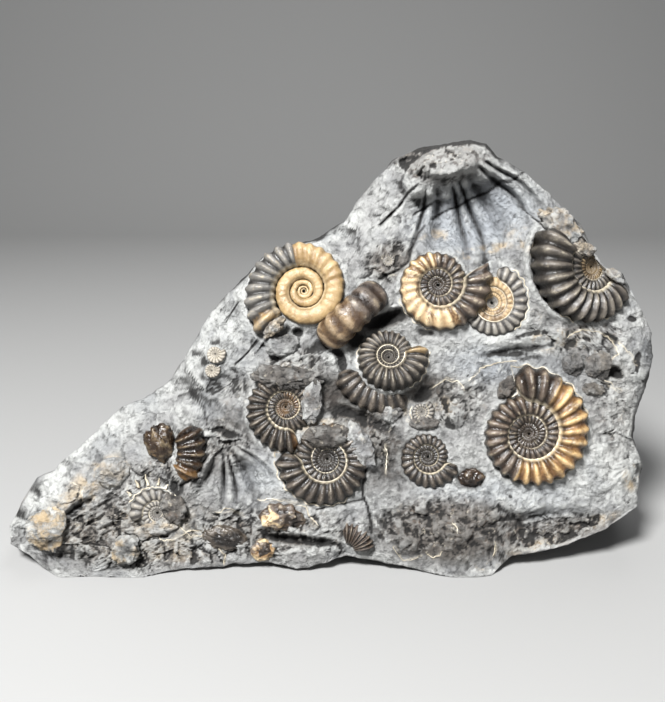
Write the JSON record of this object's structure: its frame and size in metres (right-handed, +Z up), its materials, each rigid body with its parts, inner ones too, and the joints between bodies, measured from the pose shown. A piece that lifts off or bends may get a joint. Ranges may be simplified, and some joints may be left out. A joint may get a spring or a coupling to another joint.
{
  "type": "ammonite fossil cluster",
  "caption": "Standing slab of grey mudstone with a leaning front face set with small ribbed ammonites, whorl pieces and rounded nodules",
  "frame": {"origin": "middle of the flat base, at the centre of the outer box and on the surface that the slab stands on", "axes": "+X runs along the face to the viewer's right, +Y from the face to the back, +Z up"},
  "size_m": [0.1559, 0.053, 0.0977],
  "materials": {
    "mudstone": "matte",
    "golden_shell": "satin",
    "yellow_shell": "satin",
    "dark_shell": "satin",
    "grey_shell": "satin",
    "glossy_shell": "gloss",
    "cream_calcite": "matte"
  },
  "bodies": {
    "root": {"matrix": "mudstone", "ammonite_great_gold": "golden_shell", "ammonite_yellow": "yellow_shell", "ammonite_centre": "dark_shell", "ammonite_left_centre": "dark_shell", "ammonite_low_centre": "dark_shell", "ammonite_small_dark": "dark_shell", "ammonite_horned": "golden_shell", "ammonite_beside_horned": "grey_shell", "ammonite_right_edge": "dark_shell", "ammonite_lower_left": "grey_shell", "coil_among_ribs": "grey_shell", "coil_cream_upper": "cream_calcite", "coil_cream_lower": "cream_calcite", "coil_tiny": "grey_shell", "whorl_edge_on": "golden_shell", "whorl_under_centre": "dark_shell", "whorl_glossy": "glossy_shell", "whorl_quarter": "glossy_shell", "nodule_cream_tip": "cream_calcite", "nodule_cream_base": "cream_calcite", "nodule_purple": "grey_shell", "lump_brown": "glossy_shell", "dome_dark": "dark_shell", "fragment_arched": "golden_shell", "fragment_dark": "dark_shell", "fragment_gold": "golden_shell", "pebble_dark": "dark_shell", "lump_right_small": "dark_shell", "lump_right_large": "dark_shell", "lump_right_low": "dark_shell"}
  },
  "joints": []
}
